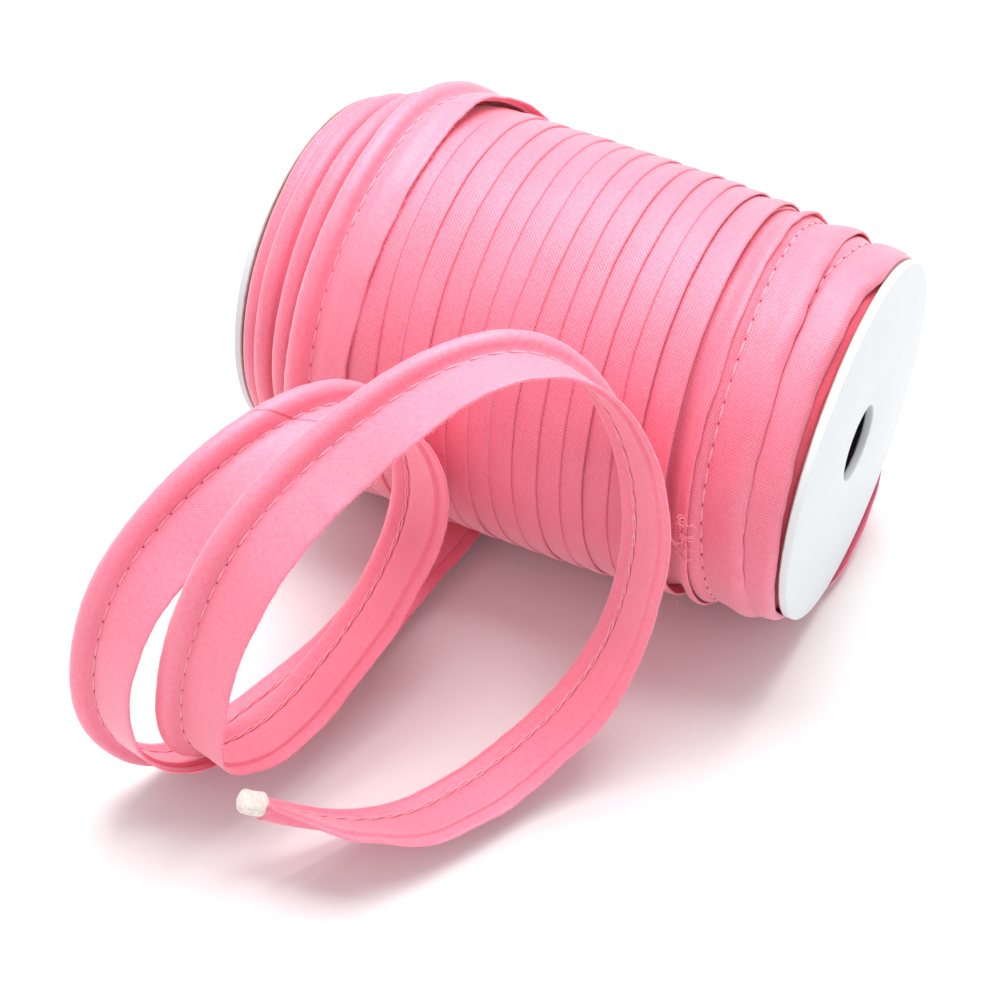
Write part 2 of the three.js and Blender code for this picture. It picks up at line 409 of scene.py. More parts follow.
# The binding's section as reach from the bead's middle and height from the flange's middle plane.
# The outer face goes to the raw edge and the inner face stops earlier, and both dip at the seam.
OUTER_FACE = [
    (10.90, 0.10), (10.86, 0.26), (10.75, 0.36), (10.5, 0.42), (9.8, 0.43), (8.7, 0.42), (7.2, 0.42),
    (5.9, 0.43), (4.8, 0.45), (4.0, 0.45), (3.4, 0.42), (2.9, 0.35), (2.55, 0.26), (2.2, 0.22),
    (1.95, 0.34),
]
INNER_FACE = [
    (1.55, 0.47), (1.72, 0.30), (1.95, 0.24), (2.2, 0.22), (2.5, 0.20), (2.68, 0.24), (2.85, 0.40),
    (3.1, 0.46), (3.6, 0.46), (4.7, 0.45), (6.2, 0.44), (7.6, 0.48), (8.15, 0.54), (8.4, 0.52),
    (8.5, 0.36), (8.54, 0.02), (8.66, -0.08), (8.85, -0.06), (9.4, 0.0), (10.3, 0.0), (10.88, -0.05),
]
BEAD_FROM = math.radians(10)
BEAD_TO = math.radians(305)
BEAD_POINTS = 26


def section_corners():
    """The section's corners in order: the part, its reach and its height."""
    corners = [("outer", reach, -height) for reach, height in OUTER_FACE]
    for i in range(BEAD_POINTS):
        angle = BEAD_FROM + (BEAD_TO - BEAD_FROM) * i / (BEAD_POINTS - 1)
        reach = BEAD_RADIUS * math.cos(angle)
        height = -BEAD_SET - BEAD_RADIUS * math.sin(angle)
        corners.append(("bead", reach, height))
    corners += [("inner", reach, height) for reach, height in INNER_FACE]
    return corners


def rest_on_floor(stations):
    """Lifts the route, softly along its length, wherever its section would sink into the floor."""
    corners = np.array([corner[1:] for corner in section_corners()])
    rise = corners[:, 0] * stations["flange"][:, 2:3] + corners[:, 1] * stations["normal"][:, 2:3]
    lowest = stations["centre"][:, 2] + rise.min(axis=1)
    lift = np.maximum(0, FLOOR_GAP + 0.05 - lowest)
    spread = np.exp(-np.linspace(-2, 2, 17) ** 2)
    soft = np.convolve(np.pad(lift, 8, mode="edge"), spread / spread.sum(), mode="valid")
    stations["centre"][:, 2] += np.maximum(soft, lift)


def strip_mesh(name, stations, seed=3.0):
    """Sweeps the binding's section along its stations, with the small unevenness of sewn cloth."""
    corners = section_corners()
    count = len(stations["walked"])
    total = stations["walked"][-1]
    points = np.zeros((count, len(corners) + 1, 3))
    cloth = np.zeros((count, len(corners) + 1, 2))
    for i in range(count):
        s = stations["walked"][i]
        centre, flange, normal = (stations[key][i] for key in ("centre", "flange", "normal"))
        cut = min(1.0, (total - s) / SLANT_CUT)
        reach = CUT_REACH + (stations["reach"][i] - CUT_REACH) * cut
        narrow = (reach - FLAT_FROM) / (FLANGE_REACH - FLAT_FROM)
        frayed = wander(s / 9, 0, 0.25, seed) + wander(s / 2.0, 4, 0.14, seed)
        plump = 1 + wander(s / 14, 8, 0.06, seed) + wander(s / 4, 12, 0.04, seed)
        pucker = 0.5 + 0.5 * math.cos(2 * math.pi * s / STITCH_PITCH)
        ripple = wander(s / 11, 16, 0.5, seed) + wander(s / 5, 20, 0.2, seed)
        fold = 0.45 * min(1.0, max(0.0, (FLANGE_REACH - stations["reach"][i]) / 1.5))
        developed = 0.0
        before = None
        for j, (part, u, v) in enumerate(corners):
            if part == "bead":
                u = u * plump - 0.06 * (1 - pucker)
                v = (v + BEAD_SET) * plump - BEAD_SET
            elif u > FLAT_FROM:
                share = (u - FLAT_FROM) / (FLANGE_REACH - FLAT_FROM)
                u = FLAT_FROM + (u - FLAT_FROM) * narrow + frayed * share ** 3
                v += ripple * share ** 1.5
                v -= fold * math.exp(-((u - 4.9) / 1.1) ** 2)
            near = max(0.0, 1 - abs(u - STITCH_LINE) / 1.4)
            if part != "bead":
                v *= 1 - 0.4 * near * (1 - pucker)
            if before is not None:
                developed += math.hypot(u - before[0], v - before[1])
            before = (u, v)
            points[i, j] = centre + flange * u + normal * v
            cloth[i, j] = (s, developed)
        points[i, -1] = points[i, 0]
        cloth[i, -1] = (s, developed + 0.2)
    points[:, :, 2] = np.maximum(points[:, :, 2], FLOOR_GAP)
    stations["edge"] = points[:, 0].copy()
    return laid_cloth(name, points * MM, cloth * MM)


def swept_thread(name, centres, thick, sides=6):
    """A thin round thread through its centres."""
    centres = np.array(centres)
    along = np.gradient(centres, axis=0)
    along /= np.linalg.norm(along, axis=1)[:, None]
    side = np.cross(along, (0.31, 0.17, 0.93))
    side /= np.linalg.norm(side, axis=1)[:, None]
    up = np.cross(along, side)
    points = np.zeros((len(centres), sides + 1, 3))
    cloth = np.zeros((len(centres), sides + 1, 2))
    walked = np.concatenate([[0], np.cumsum(np.linalg.norm(np.diff(centres, axis=0), axis=1))])
    for j in range(sides + 1):
        a = 2 * math.pi * (j % sides) / sides
        points[:, j] = centres + (side * math.cos(a) + up * math.sin(a)) * thick / 2
        cloth[:, j, 0] = walked
        cloth[:, j, 1] = thick * math.pi * j / sides
    return laid_cloth(name, points * MM, cloth * MM)


def station(stations, i):
    """The strip's centre, the way along, the flange's way and the normal at one station."""
    return [Vector(stations[key][i]) for key in ("centre", "along", "flange", "normal")]


def make_chain(name, stations, phase):
    """One of the two threads that cross along the seam on the inner face."""
    centres = []
    for s in np.arange(0.5, stations["walked"][-1] - 2.0, 0.4):
        i = min(int(np.searchsorted(stations["walked"], s)), len(stations["walked"]) - 1)
        k = (s - stations["walked"][i - 1]) / (stations["walked"][i] - stations["walked"][i - 1])
        centre, flange, normal = (
            stations[key][i - 1] * (1 - k) + stations[key][i] * k
            for key in ("centre", "flange", "normal")
        )
        turn = math.pi * s / STITCH_PITCH + phase
        across = STITCH_LINE - 0.05 + 0.24 * math.sin(turn) + wander(s / 6, 0, 0.12, 31.0)
        height = 0.34 + 0.10 * math.cos(turn)
        centres.append(centre + flange * across + normal * height)
    return swept_thread(name, centres, CHAIN_THICK)


def make_thread_bit():
    """One short stretch of sewing thread, a long rounded bead, to be laid many times."""
    bm = bmesh.new()
    bmesh.ops.create_uvsphere(bm, u_segments=8, v_segments=6, radius=1.0)
    bit = bpy.data.meshes.new("thread_bit")
    bm.to_mesh(bit)
    bm.free()
    return bit


def lay_thread(bm, bit, middle, along, side, length, thick, flat):
    """Adds a copy of the bit to the stitches, stretched along its way and flattened on the cloth."""
    turn = Matrix((along, side, along.cross(side))).transposed().to_4x4()
    stretch = Matrix.Diagonal((length / 2 * MM, thick / 2 * MM, flat / 2 * MM, 1))
    laid = bit.copy()
    laid.transform(Matrix.Translation(middle * MM) @ turn @ stretch)
    bm.from_mesh(laid)
    bpy.data.meshes.remove(laid)


def make_stitches(name, stations):
    """The straight stitches on the outer face, and the holes between them."""
    bm, holes = bmesh.new(), bmesh.new()
    bit = make_thread_bit()
    walked = stations["walked"]
    total = walked[-1]
    count = int((total - 1.0) / STITCH_PITCH)
    for n in range(count):
        s = (n + 0.5) * STITCH_PITCH
        i = int(np.searchsorted(walked, s))
        centre, along, flange, normal = station(stations, i)
        sway = wander(n / 3, 0, 0.12, 31.0)
        line = centre + flange * (STITCH_LINE + sway)
        tilt = (along + flange * wander(n, 2, 0.12, 33.0)).normalized()
        side = (flange - tilt * flange.dot(tilt)).normalized()
        if (line - normal * 0.2).z > 0.3:
            lay_thread(bm, bit, line - normal * 0.27, tilt, side, STITCH_LENGTH, 0.36, 0.32)
            end = line - normal * 0.15 + tilt * STITCH_PITCH / 2
            if s < total - 5:
                lay_thread(holes, bit, end, tilt, side, 0.40, 0.30, 0.18)
    return add_piece(name, bm, smooth=True), add_piece("needle_holes", holes, smooth=True)


def make_wound_stitches():
    bm, holes = bmesh.new(), bmesh.new()
    bit = make_thread_bit()
    lay_seam(bm, holes, bit, BEADED_SEAM, (DRIFT, 1.0), -60, 200)
    lay_seam(bm, holes, bit, OUTER_SEAM, (OUTER_DRIFT, 1.0), 40, 140)
    stitched = add_piece("wound_stitches", bm, smooth=True)
    return stitched, add_piece("wound_needle_holes", holes, smooth=True)


# ---- fibres ----

def thread_curves(name, paths, thick, sides=0):
    """Fine fibres, each a short path of points that thins towards its tip."""
    curve = bpy.data.curves.new(name, "CURVE")
    curve.dimensions = "3D"
    curve.bevel_depth = thick / 2 * MM
    curve.bevel_resolution = sides
    curve.use_fill_caps = True
    for path in paths:
        spline = curve.splines.new("POLY")
        spline.points.add(len(path) - 1)
        for k, place in enumerate(path):
            spline.points[k].co = (*(Vector(place) * MM), 1.0)
            spline.points[k].radius = 1.0 - 0.6 * k / (len(path) - 1)
    maker = bpy.data.objects.new(name, curve)
    mesh = bpy.data.meshes.new_from_object(maker)
    bpy.data.objects.remove(maker)
    bpy.data.curves.remove(curve)
    mesh.name = name
    piece = bpy.data.objects.new(name, mesh)
    bpy.context.scene.collection.objects.link(piece)
    return piece


def fuzz_paths(edge, outward, lift, spacing, length, seed):
    """Short hairs standing out of a raw edge, every so often along its line of points."""
    chance = random.Random(seed)
    paths = []
    gaps = np.linalg.norm(np.diff(edge, axis=0), axis=1)
    walked = np.concatenate([[0], np.cumsum(gaps)])
    for place in np.arange(0, walked[-1], spacing):
        place = min(walked[-1], max(0.0, place + chance.uniform(-0.4, 0.4) * spacing))
        i = min(int(np.searchsorted(walked, place)), len(edge) - 1)
        k = (place - walked[i - 1]) / gaps[i - 1] if i else 0.0
        root = Vector(edge[i - 1] * (1 - k) + edge[i] * k if i else edge[0])
        out, up = Vector(outward[i]), Vector(lift[i])
        along = out.cross(up)
        way = (out + along * chance.uniform(-1.3, 1.3) + up * chance.uniform(-0.35, 0.35)).normalized()
        bend = (way + along * chance.uniform(-0.8, 0.8) + up * chance.uniform(-0.3, 0.3)).normalized()
        reach = length * chance.uniform(0.4, 1.0)
        root -= out * 0.12
        middle = root + way * reach * 0.55
        paths.append([root, middle, middle + bend * reach * 0.45])
    return [path for path in paths if min(point.z for point in path) > 0.1]


# Where the tuft is rooted: along the spool and away from its axis.
TUFT_PLACE = (32.6, 32.85)


def frayed_tuft():
    """Threads pulled loose from the narrow turn's raw edge, low at the front."""
    chance = random.Random(12)
    paths = []
    for _ in range(26):
        angle = chance.uniform(-5.5, 7.5)
        x = TUFT_PLACE[0] + chance.uniform(-0.3, 0.3)
        heading = chance.uniform(-60, 240)
        path = []
        for k in range(9):
            loop = 0.9 * math.sin(math.pi * k / 8) * chance.uniform(0.4, 1)
            path.append(round_spool(x, TUFT_PLACE[1] + loop, angle))
            heading += chance.uniform(-55, 75)
            x -= 0.34 * math.cos(math.radians(heading))
            angle += 0.62 * math.sin(math.radians(heading))
        paths.append(path)
    return paths


def stray_fibres():
    """A few long fibres: under the winding at the front, and off the raw edges of the loops."""
    paths = []
    for x, angle, reach, lean in ((13.5, -62, 3.6, 0.8), (14.6, -63, 2.9, 1.2), (31.8, -30, 2.2, 0.5),
                                  (22.4, 40, 1.8, 0.6), (3.0, 62, 1.6, -0.5), (-12.7, 30, 1.7, 0.4)):
        base = round_spool(x, 34.0, angle)
        out = (base - Vector((x, 0, AXIS_HEIGHT))).normalized()
        path = []
        for k in range(6):
            part = k / 5
            droop = Vector((lean * reach * part ** 2, 0, 0))
            path.append(base + out * (0.2 + reach * part * (1 - 0.3 * part)) + droop)
        paths.append(path)
    return paths


# ---- the winding ----

TURN_FROM, TURN_TO = -100, 260    # a turn's cloth closes low at the back
TURN_GIRTH = 33.5                 # the radius that its length is measured at
TILE_GIRTH = 34.5


def lay_section(section, angle, girth):
    """A closed section's corners round the spool at that angle, and where they lie on flat cloth."""
    row, flat, developed = [], [], 0.0
    for k, (x, radius) in enumerate(section):
        place = round_spool(x, radius, angle)
        place.z = max(place.z, FLOOR_GAP)
        row.append(place)
        if k:
            developed += math.dist(section[k - 1], section[k])
        flat.append((math.radians(angle) * girth, developed))
    return row, flat


def spun_cloth(name, section_at, steps):
    """A closed band of cloth round the spool. section_at(angle) gives its closed section, (x,
    radius) corners in order, and the corners are the same in number all the way round."""
    angles = np.linspace(TURN_FROM, TURN_TO, steps + 1)
    points, cloth = [], []
    for angle in angles:
        section = section_at(angle if angle < TURN_TO else TURN_FROM)
        section = section + [section[0]]
        row, flat = lay_section(section, angle, TURN_GIRTH)
        points.append(row)
        cloth.append(flat)
    points, cloth = np.array(points), np.array(cloth)
    points[-1] = points[0]
    return laid_cloth(name, points * MM, cloth * MM, round_trip=True)


def edged(line, thick):
    """Closes a line of the cloth's top face, ending at its raw edge, with the edge and underside."""
    x, radius = line[-1]
    edge = [(x + 0.07, radius - 0.08), (x + 0.10, radius - thick * 0.5), (x + 0.03, radius - thick)]
    under = [(px, pr - thick) for px, pr in reversed(line[::3])]
    return line + edge + under


def smooth_line(rows, count):
    """A soft line through (x, radius) rows, with evenly spread points."""
    flat = [(x, radius, 0.0) for x, radius in rows]
    read, _ = natural_spline(flat, 0.05)
    picks = np.linspace(0, len(read) - 1, count).round().astype(int)
    return [(float(read[k][0]), float(read[k][1])) for k in picks]


def make_tiled_turns():
    """The middle turns: one helical ribbon, each turn's edge lying on the turn to its right."""
    steps = 150
    turns = len(TILE_EDGES) - 1
    points, cloth, edge = [], [], []
    for i in range(int((turns - 0.6) * steps) + 1):
        turn = i / steps
        angle = TURN_FROM + 360 * turn
        end = float(np.interp(turn + 0.59, range(turns + 1), TILE_EDGES))
        pitch = float(np.interp(turn - 0.41, range(turns + 1), TILE_EDGES)) - end
        pitch = min(5.2, max(3.6, pitch))
        end += at_angle(TILE_LEAN, (angle - TURN_FROM) % 360 + TURN_FROM)
        end += wander(turn * 5, 0, 0.35, 41.0) + wander(turn * 31, 0, 0.10, 42.0)
        top = crest(end) + wander(turn * 7, 3, 0.25, 43.0)
        line = []
        for across in (-6.2, -4.8, -3.6, -2.8, -2.0, -1.3, -0.7, -0.3, -0.1, 0.0):
            fall = 0.29 * (-across / pitch) ** 1.3
            hump = 0.12 * math.sin(math.pi * min(1, -across / pitch))
            line.append((end + across, top - fall + hump - (0.05 if across > -0.05 else 0)))
        section = edged(line, 0.36)
        section.append(section[0])
        tip = round_spool(*section[len(line)], angle)
        edge.append(tip)
        row, flat = lay_section(section, angle, TILE_GIRTH)
        points.append(row)
        cloth.append(flat)
    edge = np.array(edge)
    away = edge - np.array([0, 0, AXIS_HEIGHT])
    away[:, 0] = 0
    away /= np.linalg.norm(away, axis=1)[:, None]
    outward = np.tile([1.0, 0.0, 0.0], (len(edge), 1))
    paths = fuzz_paths(edge, outward, away, 0.9, 0.55, 5)
    fuzz = thread_curves("tile_edge_fuzz", paths, 0.07)
    return laid_cloth("tiled_turns", np.array(points) * MM, np.array(cloth) * MM), fuzz


# The turns that show their beads at the left end: bead centre along and away from the axis.
LEFT_BEADS = table(
    "x radius",
    (-45.75, 29.25),
    (-42.9, 30.5),
    (-38.4, 31.9),
)


def make_left_turn(k):
    bead = LEFT_BEADS[k]

    def section(angle):
        swell = 1.0 + wander(angle / 40, k, 0.06, 51.0)
        x = bead["x"] + wander(math.cos(math.radians(angle)) * 2, k, 0.3, 52.0)
        radius = bead["radius"] + wander(math.sin(math.radians(angle)) * 2, k, 0.3, 53.0)
        line = []
        for n in range(19):
            a = math.radians(215 - 195 * n / 18)
            place = x + 1.85 * swell * math.cos(a)
            height = radius + 1.7 * swell * math.sin(a)
            if height < DISC_RADIUS + 0.2:
                place = max(place, 0.25 - WINDING_END)
            line.append((place, height))
        for out, low in ((2.3, 0.25), (2.9, 0.15), (3.9, 0.3), (5.2, 0.4)):
            line.append((x + out, radius + low))
        return edged(line, 0.45)

    return spun_cloth(f"left_turn_{k + 1}", section, 240)


# The turns at the right end. Each row is a corner of the cloth's top face, from where it is tucked
# under its neighbour to its raw edge, as it lies at the front. Going round, the whole section
# drifts along the spool, and the raw edge lifts where it curls behind the crest and underneath.
UNDER_TURN = [(23.5, 31.9), (25.0, 32.2), (26.2, 32.45), (26.9, 32.6), (27.3, 32.55)]
NARROW_TURN = [
    (24.6, 31.6), (26.2, 31.8), (27.6, 31.85), (28.7, 31.9), (29.6, 32.0), (30.4, 32.3), (31.2, 32.65),
    (31.9, 32.85), (32.3, 32.8),
]
BEADED_TURN = [
    (30.3, 29.7), (30.4, 30.8), (31.0, 31.7), (31.9, 32.1), (32.8, 32.0), (33.4, 31.6),
    (33.75, 31.25), (34.0, 31.2), (34.3, 31.3), (35.0, 31.45), (36.3, 31.65), (37.7, 31.95),
    (38.9, 32.1), (39.9, 31.95), (40.5, 31.7), (40.8, 31.5),
]
OUTER_TURN = [
    (36.0, 29.4), (36.3, 30.3), (37.0, 30.95), (37.8, 31.15), (38.6, 31.0), (39.3, 30.55),
    (39.7, 30.35), (40.1, 30.6), (40.9, 30.95), (42.2, 31.2), (43.8, 31.35), (45.0, 31.35),
    (45.8, 31.15), (46.25, 30.75), (46.4, 30.35),
]
END_TURN = [
    (44.4, 28.7), (44.9, 29.2), (45.6, 29.4), (46.3, 29.2), (46.9, 28.8), (47.3, 28.4), (47.4, 27.8),
]
DRIFT = table(
    "angle shift",
    (-100, 2.6),
    (-30, 2.6),
    (-4, 1.7),
    (7, 1.1),
    (19, 0.6),
    (42, 0.0),
    (65, -0.55),
    (88, -1.3),
    (110, -1.8),
    (160, -1.0),
    (210, 1.0),
    (260, 2.6),
)
OUTER_DRIFT = table(
    "angle shift",
    (-100, 0.0),
    (90, 0.0),
    (106, 0.9),
    (122, 1.3),
    (160, 0.6),
    (200, 0.0),
)
# Low at the back, the outermost turn's raw edge hangs out over the rim of the disc.
OVERHANG = table(
    "angle out",
    (-100, 1.0),
    (-88, 0.85),
    (-80, 0.5),
    (-72, 0.0),
    (213, 0.0),
    (222, 0.5),
    (232, 0.85),
    (246, 1.0),
    (260, 1.0),
)
# The outermost turn's raw edge wanders up to the disc and a little away from it.
EDGE_SHIFT = table(
    "angle shift",
    (-100, 0.8),
    (5, 0.7),
    (20, 0.4),
    (40, -0.3),
    (56, -0.4),
    (70, -0.25),
    (84, -0.1),
    (94, 0.2),
    (104, 0.8),
    (160, 0.3),
    (260, 0.8),
)
# Low at the front, the narrow turn sinks between its neighbours.
SINK = table(
    "angle depth",
    (-100, 0.3),
    (-50, 1.1),
    (15, 1.1),
    (60, 0.2),
    (200, 0.0),
    (260, 0.3),
)
EDGE_LIFT = table(
    "angle lift",
    (-100, 0.9),
    (-60, 0.5),
    (-25, 0.0),
    (75, 0.0),
    (100, 0.5),
    (128, 1.0),
    (170, 0.5),
    (260, 0.9),
)
SINK_MIDDLE = 28.3
SINK_REACH = 2.6
# Where the seams of two turns lie: along the spool and away from its axis.
BEADED_SEAM = (33.9, 31.26)
OUTER_SEAM = (39.72, 30.42)


def drift_at(drift, angle):
    """How far a turn has moved along the spool by that angle: a table and the share of it taken."""
    table, share = drift
    return share * at_angle(table, angle)


def make_right_turn(name, rows, count, drift, curl, hang, seed):
    line = smooth_line(rows, count)
    first, last = line[0][0], line[-1][0]

    def section(angle):
        shift = drift_at(drift, angle)
        lift = curl * at_angle(EDGE_LIFT, angle, "lift")
        turn = math.radians(angle)
        sway = wander(math.cos(turn) * 9, math.sin(turn) * 9, 0.25, seed + 0.5)
        out = hang * at_angle(OVERHANG, angle, "out")
        moved = []
        for x, radius in line:
            share = (x - first) / (last - first)
            uneven = wander(math.cos(turn) * 3 + x / 3, math.sin(turn) * 3, 0.30, seed)
            height = radius + uneven * (0.3 + 0.7 * share) + lift * share ** 4 + 2.3 * out * share ** 2
            if rows is NARROW_TURN:
                low = at_angle(SINK, angle, "depth")
                height -= low * max(0.0, 1 - abs(x - SINK_MIDDLE) / SINK_REACH) ** 0.7
            place = x + shift + sway * share ** 2 + 2.7 * out * share ** 2
            if rows is OUTER_TURN:
                place += drift_at((EDGE_SHIFT, share ** 2), angle)
            if height < DISC_RADIUS + 0.7:
                place = min(place, WINDING_END - 0.1)
            moved.append((place, height))
        return edged(moved, 0.4)

    return spun_cloth(name, section, 300)


def lay_seam(bm, holes, bit, seam, drift, low, high):
    """The straight stitches of a wound turn, from one angle round to another."""
    x, radius = seam
    pitch = math.degrees(STITCH_PITCH / radius)
    for n in range(int((high - low) / pitch)):
        angle = low + n * pitch
        turn = math.radians(angle)
        here = round_spool(x + drift_at(drift, angle), radius + 0.10, angle)
        there = round_spool(x + drift_at(drift, angle + pitch), radius + 0.10, angle + pitch)
        along = (there - here).normalized()
        up = Vector((0, -math.cos(turn), math.sin(turn)))
        side = up.cross(along).normalized()
        middle = (here + there) / 2 + side * wander(n, 0, 0.15, 35.0)
        lay_thread(bm, bit, middle, along, side, STITCH_LENGTH, 0.32, 0.30)
        lay_thread(holes, bit, here, along, side, 0.40, 0.30, 0.22)


BODY_BORE = 11.3


def make_winding_body():
    """The plain wound mass that the showing turns lie on."""
    rows = [(-WINDING_END, 28.6), (-44, 29.2), (-40, 30.4), (-36, 31.6), (-30, 32.5), (-22, 33.4),
            (-8, 33.3), (10, 33.1), (20, 32.4), (23.5, 31.2), (25.5, 30.2), (30, 29.9), (34, 29.8),
            (36, 29.3), (42, 29.6), (44.5, 29.0), (WINDING_END, 28.3)]
    bm = bmesh.new()
    line = [(-WINDING_END, BODY_BORE)] + rows + [(WINDING_END, BODY_BORE)]
    verts = [bm.verts.new((x * MM, -radius * MM, 0)) for x, radius in line]
    edges = [bm.edges.new((verts[k], verts[(k + 1) % len(verts)])) for k in range(len(verts))]
    bmesh.ops.spin(bm, geom=verts + edges, axis=(1, 0, 0), cent=(0, 0, 0),
                   angle=2 * math.pi, steps=120, use_merge=True)
    for vert in bm.verts:
        vert.co.z = max(vert.co.z + AXIS_HEIGHT * MM, 2 * FLOOR_GAP * MM)
    bmesh.ops.remove_doubles(bm, verts=bm.verts, dist=1e-6)
    bmesh.ops.recalc_face_normals(bm, faces=bm.faces)
    return add_piece("winding_body", bm, smooth=True)


# ---- card ----

def make_disc(name, side):
    """A die-cut card disc: a ring spun from its section, its rims a little rounded."""
    outer, inner = side * SPOOL_END, side * (SPOOL_END - DISC_THICK)
    bm = bmesh.new()
    corners = [(outer, HOLE_RADIUS), (outer, DISC_RADIUS), (inner, DISC_RADIUS), (inner, HOLE_RADIUS)]
    verts = [bm.verts.new((x * MM, 0, radius * MM)) for x, radius in corners]
    for k in range(4):
        bm.edges.new((verts[k], verts[(k + 1) % 4]))
    bmesh.ops.bevel(bm, geom=verts, offset=0.25 * MM, segments=3, profile=0.5,
                    affect="VERTICES", material=-1)
    ring = list(bm.verts) + list(bm.edges)
    bmesh.ops.spin(bm, geom=ring, axis=(1, 0, 0), cent=(0, 0, 0), angle=2 * math.pi,
                   steps=160, use_merge=True)
    bmesh.ops.remove_doubles(bm, verts=bm.verts, dist=1e-6)
    bmesh.ops.recalc_face_normals(bm, faces=bm.faces)
    bmesh.ops.translate(bm, verts=bm.verts, vec=(0, 0, AXIS_HEIGHT * MM))
    return add_piece(name, bm, smooth=True)


# ---- the cord's bare end ----

def make_cord_end(stations):
    centre, along, flange, normal = station(stations, -1)
    bm = bmesh.new()
    bmesh.ops.create_uvsphere(bm, u_segments=32, v_segments=24, radius=1.0)
    for vert in bm.verts:
        bulk = math.copysign(abs(vert.co.z) ** 0.45, vert.co.z)
        girth = math.sqrt(max(0.0, 1 - abs(bulk) ** 5))
        level = math.hypot(vert.co.x, vert.co.y)
        a = math.atan2(vert.co.y, vert.co.x)
        lobes = 1 + 0.06 * math.cos(5 * a + bulk * 3) + wander(bulk * 2, a * 0.5, 0.06, 61.0)
        radius = CORD_RADIUS * girth * lobes if level > 1e-5 else 0.0
        place = centre - normal * 0.4 + along * (1.7 + 2.4 * bulk)
        place += (flange * math.cos(a) + normal * math.sin(a)) * radius
        vert.co = place * MM
    bmesh.ops.recalc_face_normals(bm, faces=bm.faces)
    return add_piece("filler_cord", bm, smooth=True)


# ---- materials ----

def new_material(name, colour, roughness):
    material = bpy.data.materials.new(name)
    material.use_nodes = True
    tree = material.node_tree
    shader = tree.nodes["Principled BSDF"]
    shader.inputs["Base Color"].default_value = (*colour, 1)
    shader.inputs["Roughness"].default_value = roughness
    return material, tree, shader


def maths(tree, what, first, second=None, clamp=False):
    node = tree.nodes.new("ShaderNodeMath")
    node.operation = what
    node.use_clamp = clamp
    for socket, value in zip(node.inputs, (first, second)):
        if value is None:
            continue
        if isinstance(value, (int, float)):
            socket.default_value = value
        else:
            tree.links.new(value, socket)
    return node.outputs[0]


def weave_height(tree, along, across):
    """Plain weave on the bias: warp and weft take turns on top, and dip to a hole at each corner."""
    rate = math.pi / (math.sqrt(2) * THREAD_PITCH * MM)
    warp = maths(tree, "MULTIPLY", maths(tree, "ADD", along, across), rate)
    weft = maths(tree, "MULTIPLY", maths(tree, "SUBTRACT", along, across), rate)
    warp, weft = maths(tree, "SINE", warp), maths(tree, "SINE", weft)
    turn = maths(tree, "GREATER_THAN", maths(tree, "MULTIPLY", warp, weft), 0.0)
    round_warp, round_weft = maths(tree, "ABSOLUTE", warp), maths(tree, "ABSOLUTE", weft)

    def thread(across_it, along_it):
        arch = maths(tree, "ADD", maths(tree, "MULTIPLY", along_it, 0.45), 0.55)
        return maths(tree, "MULTIPLY", maths(tree, "POWER", across_it, 0.6), arch)

    mix = tree.nodes.new("ShaderNodeMix")
    tree.links.new(turn, mix.inputs[0])
    low_weft = maths(tree, "MULTIPLY", thread(round_weft, round_warp), 0.8)
    tree.links.new(low_weft, mix.inputs[2])
    tree.links.new(thread(round_warp, round_weft), mix.inputs[3])
    return mix.outputs[0]


def object_spots(tree):
    return tree.nodes.new("ShaderNodeTexCoord").outputs["Object"]


def mixed(tree, share, first, second, blend="MIX"):
    """Two colours mixed; each of the three is a socket or a plain value."""
    node = tree.nodes.new("ShaderNodeMix")
    node.data_type = "RGBA"
    node.blend_type = blend
    for k, value in ((0, share), (6, first), (7, second)):
        if isinstance(value, (int, float, tuple)):
            node.inputs[k].default_value = value
        else:
            tree.links.new(value, node.inputs[k])
    return node.outputs[2]


def noise_at(tree, vector, scale, detail=3.0):
    node = tree.nodes.new("ShaderNodeTexNoise")
    node.inputs["Scale"].default_value = scale
    node.inputs["Detail"].default_value = detail
    tree.links.new(vector, node.inputs["Vector"])
    return node.outputs["Fac"]


def ramp(tree, factor, stops):
    node = tree.nodes.new("ShaderNodeValToRGB")
    node.color_ramp.elements[0].position = stops[0][0]
    node.color_ramp.elements[0].color = (*stops[0][1], 1)
    node.color_ramp.elements[1].position = stops[-1][0]
    node.color_ramp.elements[1].color = (*stops[-1][1], 1)
    for position, colour in stops[1:-1]:
        node.color_ramp.elements.new(position).color = (*colour, 1)
    tree.links.new(factor, node.inputs["Fac"])
    return node.outputs["Color"]


def bump(tree, height, distance, strength=1.0, under=None):
    node = tree.nodes.new("ShaderNodeBump")
    node.inputs["Distance"].default_value = distance
    node.inputs["Strength"].default_value = strength
    tree.links.new(height, node.inputs["Height"])
    if under is not None:
        tree.links.new(under, node.inputs["Normal"])
    return node.outputs["Normal"]


